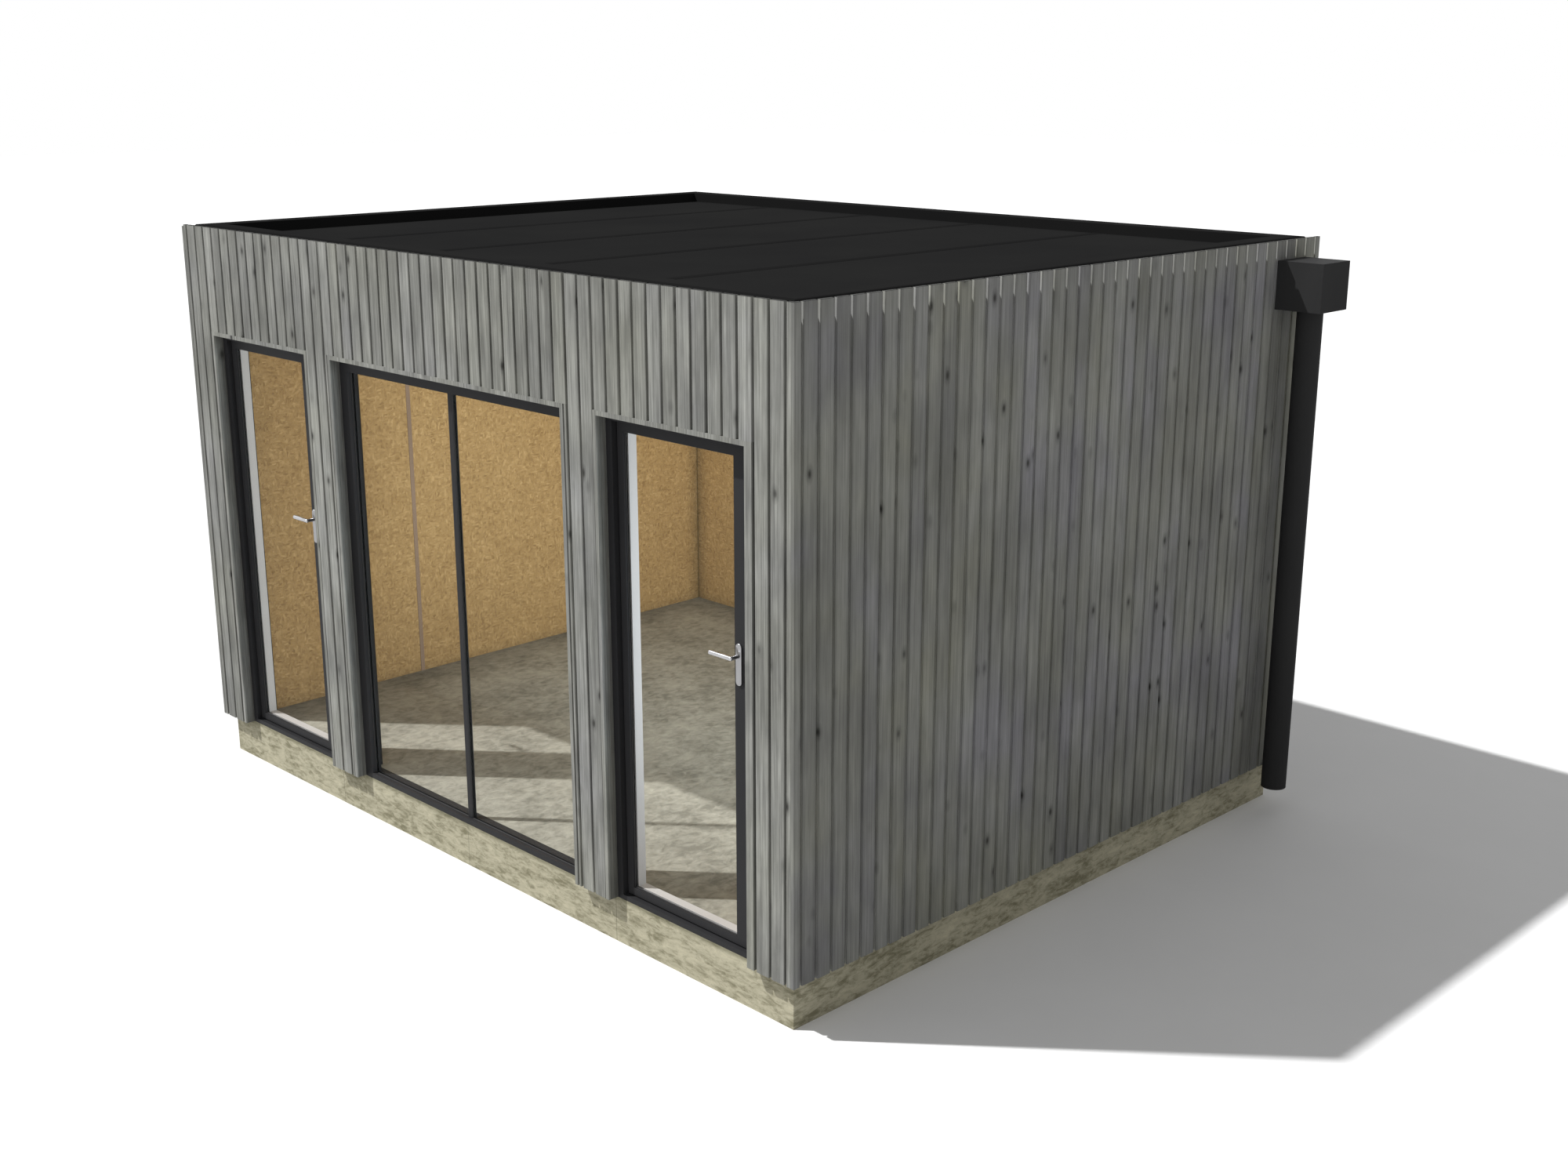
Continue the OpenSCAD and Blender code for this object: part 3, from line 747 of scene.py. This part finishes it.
# %% Handle plates
def brushed_steel(name, along, dark, bright):
    """Steel with hair lines along one axis, from dark to bright, and a slow change of gloss."""
    mat, tree, skin = finish(name)
    spot = place(tree)
    lines = cloud(tree, stretch(tree, spot, along), detail=3)
    slow = cloud(tree, stretch(tree, spot, (25, 25, 25)), detail=3)
    colour = ramp(tree, lines, (0.25, dark, dark, dark * 1.02),
                  (0.75, bright, bright, bright * 1.02))
    feed(tree, skin.inputs["Base Color"], colour)
    skin.inputs["Metallic"].default_value = 1.0
    feed(tree, skin.inputs["Roughness"], spread(tree, slow, 0.3, 0.7, 0.24, 0.38))
    relief(tree, skin, lines, 0.0002, 0.3)
    return mat


RIM = np.array([(0, 0), (0, 0.52), (0.0012, 0.80), (0.0035, 0.94), (0.0146, 1.0)])
PLATE_POINTS, SMOOTH_ANGLE = 48, 0.7
plate_steel = brushed_steel("plate_steel", (900, 900, 12), 0.27, 0.42)
lever_steel = brushed_steel("lever_steel", (14, 900, 900), 0.40, 0.60)


def lay_plate(name, node, body, faces_front):
    """Stadium outline at angle a: radius times (cos a, sin a) plus half the straight length up or
    down. Rings are drawn in by RIM's first column and lifted by its second times the thickness."""
    low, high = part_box(node)
    a = (np.arange(PLATE_POINTS) + 0.5) * 2 * np.pi / PLATE_POINTS
    radius = (high.x - low.x) / 2 - RIM[:, :1]
    straight = (high.z - low.z - (high.x - low.x)) / 2
    xs = (low.x + high.x) / 2 + radius * np.cos(a)
    zs = (low.z + high.z) / 2 + radius * np.sin(a) + np.sign(np.sin(a)) * straight
    back, front = (high.y, low.y) if faces_front else (low.y, high.y)
    ys = np.broadcast_to(back + (front - back) * RIM[:, 1:], xs.shape)
    spots = np.stack([xs, ys, zs], axis=-1)
    piece = make_piece(name, spots, ring_faces(1, len(RIM), PLATE_POINTS), plate_steel,
                       body, SMOOTH_ANGLE)
    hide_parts(node)


for hand in ("left", "right"):
    lay_plate(hand + "_outer_handle_plate", hand + "_outer_plate", hand + "_door", True)
    lay_plate(hand + "_inner_handle_plate", hand + "_inner_plate", hand + "_door", False)

# %% [markdown]
# Pressed strand board is thousands of thin flakes lying every which way. Scattered points give a
# flake each its own tone, and squeezing the pattern makes the flakes long. Two layers squeezed in
# different directions are mixed by a third, so that no single direction wins.

# %% Strand board
FLAKE_UP, FLAKE_UP_TURN = (120, 120, 48), (0.25, 0.2, 0)
FLAKE_LEVEL, FLAKE_LEVEL_TURN = (50, 50, 125), (0.2, -0.3, 0.1)
FLAKE_PICK, FLAKE_SHARE = (55, 55, 55), 0.75
STRAND_TONES = ((0.15, 0.315, 0.190, 0.071), (0.40, 0.425, 0.271, 0.109),
                (0.62, 0.485, 0.315, 0.131), (0.85, 0.60, 0.408, 0.183))
CORNER_SHADE, CORNER_SHADE_LINE, WALL_FOOT_SHADE = 0.09, (0.002, 0.007), 0.05
TAPE, TAPE_BLACK = (0.001, 0.002), (0.02, 0.02, 0.021, 1)


def strand_board(name, taped_x=None):
    """Two layers of long cells, chosen between by round cells, each with a tone of its own. Painted
    shade darkens it by the distance to the room's upright corners and to the floor. A cut edge at
    taped_x, to the left and right of the middle, is covered with black tape."""
    mat, tree, skin = finish(name)
    spot = place(tree)
    wobble = cloud(tree, stretch(tree, spot, (9, 9, 9)), detail=2)
    one = cells(tree, stretch(tree, spot, FLAKE_UP, turn=FLAKE_UP_TURN), out="Color")
    two = cells(tree, stretch(tree, spot, FLAKE_LEVEL, turn=FLAKE_LEVEL_TURN), out="Color")
    pick = cells(tree, stretch(tree, spot, FLAKE_PICK), out="Color")
    flake = blend(tree, spread(tree, pick, 0.45, 0.55), one, two)
    tone = average(tree, flake, FLAKE_SHARE, wobble)

    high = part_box("floor_screed")[1]
    x, y, z = parts_of(tree, spot)
    off_middle = calc(tree, "ABSOLUTE", x)
    beside = calc(tree, "SUBTRACT", high.x, off_middle)
    corner = calc(tree, "MAXIMUM", beside, calc(tree, "SUBTRACT", high.y, y))
    above = calc(tree, "SUBTRACT", z, high.z)
    # Painted shade: darker into the room's upright corners, in a line along them, and near the
    # floor.
    corner_shade = times(tree, spread(tree, corner, 0.0, CORNER_SHADE, 0.62, 1.0),
                  spread(tree, corner, *CORNER_SHADE_LINE, 0.55, 1.0),
                  spread(tree, above, 0.0, WALL_FOOT_SHADE, 0.78, 1.0))
    colour = blend(tree, 1.0, ramp(tree, tone, *STRAND_TONES), corner_shade, "MULTIPLY")
    if taped_x:
        past_edge = calc(tree, "SUBTRACT", off_middle, taped_x)
        colour = blend(tree, spread(tree, past_edge, *TAPE, 1.0, 0.0), colour, TAPE_BLACK)
    feed(tree, skin.inputs["Base Color"], colour)
    feed(tree, skin.inputs["Roughness"], spread(tree, tone, 0.2, 0.8, 0.55, 0.75))
    skin.inputs["Specular IOR Level"].default_value = 0.3
    relief(tree, skin, tone, 0.0012, 0.35)
    return mat


strand = strand_board("strand_board_raw")
pier_strand = strand_board("strand_board_taped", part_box("inner_pier_right")[0].x)
print("strand board finishes:", strand.name, pier_strand.name)

# %% [markdown]
# The plinth looks like pale cast stone: beige, with darker specks and flat patches, and a fine
# joint about every metre. The floor inside is the same stuff in a greyer tone, with painted shade
# along the walls. One function makes both, so they stay related.

# %% Cast stone and floor
JOINT_STEP, JOINT_HALF, JOINT_DARK = 0.98, 0.0018, (0.14, 0.13, 0.09, 1)
TOP_SHADE_LOW, TOP_SHADE_HIGH, TOP_SHADE_OLIVE = 0.020, 0.006, (0.16, 0.155, 0.095, 1)
BROAD, BROAD_SHARE = (3.2, 3.2, 9.0), 0.35
PATCH_OUTSIDE, PATCH_INSIDE = (16, 16, 48), (24, 17, 24)
GRIT, SPECK, SPECK_DARK = (160, 160, 190), (36, 36, 62), (0.17, 0.16, 0.095, 1)
WALL_SHADE = 0.30


def cast_stone(name, pale, deep, brightest, bumps, outside):
    """Broad and flat clouds from deep to pale to brightest times pale, with grit and dark specks.
    Outside it has joints every JOINT_STEP in x and an olive band of painted shade just below the
    top edge, inside it is painted darker along the walls, as painted shade."""
    mat, tree, skin = finish(name)
    spot = place(tree)
    x, y, z = parts_of(tree, spot)
    broad = cloud(tree, stretch(tree, spot, BROAD), detail=4)
    patch_size = PATCH_OUTSIDE if outside else PATCH_INSIDE
    patch = cloud(tree, stretch(tree, spot, patch_size), detail=7, rough=0.72, bend=0.5)
    grit = cloud(tree, stretch(tree, spot, GRIT), detail=3)
    speck = cells(tree, stretch(tree, spot, SPECK))
    colour = ramp(tree, average(tree, broad, BROAD_SHARE, patch), (0.40, *deep), (0.52, *pale),
                  (0.64, *(v * brightest for v in pale)))
    dark_grit = (*(v * 0.5 for v in deep), 1)
    colour = blend(tree, spread(tree, grit, 0.62, 0.8, 0.0, 0.55), colour, dark_grit)
    colour = blend(tree, spread(tree, speck, 0.05, 0.16, 0.4, 0.0), colour, SPECK_DARK)
    height = calc(tree, "ADD", patch, times(tree, grit, 0.6))
    if outside:
        turns = calc(tree, "DIVIDE", x, JOINT_STEP)
        off = calc(tree, "ABSOLUTE", calc(tree, "SUBTRACT", turns, calc(tree, "ROUND", turns)))
        line = spread(tree, off, JOINT_HALF * 0.5, JOINT_HALF * 1.5, 1.0, 0.0)
        colour = blend(tree, times(tree, line, 0.5), colour, JOINT_DARK)
        height = calc(tree, "SUBTRACT", height, line)
        # Painted shade: an olive band just below the top edge.
        rim = spread(tree, z, FOOT - TOP_SHADE_LOW, FOOT - TOP_SHADE_HIGH, 0.0, 0.6)
        colour = blend(tree, rim, colour, TOP_SHADE_OLIVE)
    else:
        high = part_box("floor_screed")[1]
        beside = calc(tree, "SUBTRACT", high.x, calc(tree, "ABSOLUTE", x))
        to_wall = calc(tree, "MINIMUM", beside, calc(tree, "SUBTRACT", high.y, y))
        # Painted shade: darker near the walls.
        dust_and_shade = spread(tree, to_wall, 0.0, WALL_SHADE, 0.66, 1.0)
        colour = blend(tree, 1.0, colour, dust_and_shade, "MULTIPLY")
    feed(tree, skin.inputs["Base Color"], colour)
    feed(tree, skin.inputs["Roughness"], spread(tree, patch, 0.3, 0.7, 0.8, 0.95))
    skin.inputs["Specular IOR Level"].default_value = 0.2
    relief(tree, skin, height, bumps, 0.5)
    return mat


stone = cast_stone("plinth_stone", (0.462, 0.433, 0.317), (0.225, 0.210, 0.134),
                   brightest=1.26, bumps=0.0014, outside=True)
floor_stone = cast_stone("floor_stone", (0.362, 0.352, 0.293), (0.225, 0.218, 0.178),
                         brightest=1.28, bumps=0.0006, outside=False)
print("stone finishes:", stone.name, floor_stone.name)

# %% [markdown]
# The frames are powder coated metal: nearly black, with the faint orange peel that such paint has.
# The inner halves of the doors are the same in white, the strips over the wall joints are a dull
# grey brown, and the rainwater pipe is black. One recipe with different colours serves them all.


# %% Painted metal
def powder_coat(name, colour_low, colour_high, gloss, shine=0.15):
    """Even paint with a slow drift of tone, a fine peel and a little unevenness in gloss."""
    mat, tree, skin = finish(name)
    spot = place(tree)
    drift = cloud(tree, stretch(tree, spot, (4, 4, 1.4)), detail=4)
    peel = cloud(tree, stretch(tree, spot, (420, 420, 420)), detail=2)
    colour = ramp(tree, drift, (0.3, *colour_low), (0.7, *colour_high))
    feed(tree, skin.inputs["Base Color"], colour)
    rough = spread(tree, drift, 0.3, 0.7, gloss - 0.05, gloss + 0.06)
    feed(tree, skin.inputs["Roughness"], rough)
    skin.inputs["Specular IOR Level"].default_value = shine
    relief(tree, skin, peel, 0.0003, 0.25)
    return mat


anthracite = powder_coat("frame_anthracite", (0.029, 0.029, 0.0305), (0.036, 0.036, 0.038),
                         gloss=0.45, shine=0.06)
white_coat = powder_coat("inner_leaf_white", (0.60, 0.588, 0.572), (0.66, 0.648, 0.632), gloss=0.4)
strip_brown = powder_coat("strip_brown", (0.265, 0.185, 0.127), (0.36, 0.255, 0.180), gloss=0.5)
rain_black = powder_coat("rainwater_black", (0.035, 0.035, 0.0355), (0.042, 0.042, 0.0425),
                         gloss=0.6, shine=0.01)
print("paints:", anthracite.name, white_coat.name, strip_brown.name, rain_black.name)

# %% [markdown]
# Clear glass has to let the sun into the room. A shader that bends light would hold it back, so the
# panes are mostly see-through by their alpha and only faintly mirror what is around.


# %% Clear glass
def clear_glass(name):
    """See-through panes with a breath of grey green and hardly visible smears."""
    mat, tree, skin = finish(name)
    smear = cloud(tree, stretch(tree, place(tree), (3, 3, 1.2)), detail=4)
    colour = ramp(tree, smear, (0.3, 0.028, 0.038, 0.034), (0.7, 0.036, 0.046, 0.042))
    feed(tree, skin.inputs["Base Color"], colour)
    feed(tree, skin.inputs["Roughness"], spread(tree, smear, 0.3, 0.7, 0.02, 0.05))
    skin.inputs["Alpha"].default_value = 0.06
    mat.surface_render_method = "BLENDED"
    return mat


pane = clear_glass("clear_pane")
print("glass:", pane.name)

# %% [markdown]
# The solids that stay visible get their finishes by name. A table from finish to solids is easy to
# read through, and shows at a glance whether one of them was forgotten.

# %% Finishes on the solids
DRESS = {
    strand: ["left_wall", "right_wall", "back_wall", "lintel_wall", "outer_pier_left",
             "outer_pier_right", "ceiling", "roof_deck"],
    pier_strand: ["inner_pier_left", "inner_pier_right"],
    stone: ["plinth"],
    floor_stone: ["floor_screed"],
    reveal_wood: ["left_reveal", "window_reveal", "right_reveal"],
    anthracite: ["left_frame", "right_frame", "window_frame", "left_leaf", "right_leaf"],
    white_coat: ["left_inner_leaf", "right_inner_leaf"],
    strip_brown: ["left_joint_strip", "right_joint_strip"],
    rain_black: ["hopper", "downpipe"],
    roof_black: ["roof_membrane"],
    pane: ["left_glass", "right_glass", "window_pane_left", "window_pane_right"],
    lever_steel: ["left_lever", "right_lever"],
}
for mat, names in DRESS.items():
    for name in names:
        slots = nodes[name].material_slots
        for spot in slots:
            spot.material = mat
        if not slots:
            nodes[name].data.materials.append(mat)
print("dressed", sum(len(v) for v in DRESS.values()), "solids")

# %% [markdown]
# The floor of the studio is a wide pale sheet, made as a grid like everything else. It is not part
# of the building, and it keeps the building's shadow. The camera sees it nearly white, but it
# throws back less light than that, so that the walls keep their own tone.

# %% Studio floor
FLOOR_HALF, FLOOR_LINES = 60.0, 9
u, v = np.meshgrid(*[np.linspace(-1, 1, FLOOR_LINES)] * 2)
spots = np.stack([u * FLOOR_HALF, v * FLOOR_HALF, np.zeros_like(u)], axis=-1).reshape(-1, 3)
grid = np.arange(FLOOR_LINES ** 2).reshape(FLOOR_LINES, FLOOR_LINES)
quads = np.stack([grid[:-1, :-1], grid[:-1, 1:], grid[1:, 1:], grid[1:, :-1]], axis=-1)
sheet = bpy.data.meshes.new("studio_floor")
sheet.from_pydata(spots.tolist(), [], quads.reshape(-1, 4).tolist())
mat, tree, skin = finish("studio_floor_pale")
fleck = cloud(tree, stretch(tree, place(tree), (2, 2, 2)), detail=3)
seen = ramp(tree, fleck, (0.3, 0.89, 0.89, 0.89), (0.7, 0.91, 0.91, 0.91))
dull = ramp(tree, fleck, (0.3, 0.59, 0.59, 0.59), (0.7, 0.61, 0.61, 0.61))
feed(tree, skin.inputs["Base Color"], blend(tree, seen_share(tree), dull, seen))
skin.inputs["Roughness"].default_value = 1.0
skin.inputs["Specular IOR Level"].default_value = 0.0
sheet.materials.append(mat)
studio_floor = bpy.data.objects.new("studio_floor", sheet)
bpy.context.collection.objects.link(studio_floor)
print("studio floor", len(sheet.polygons), "faces")
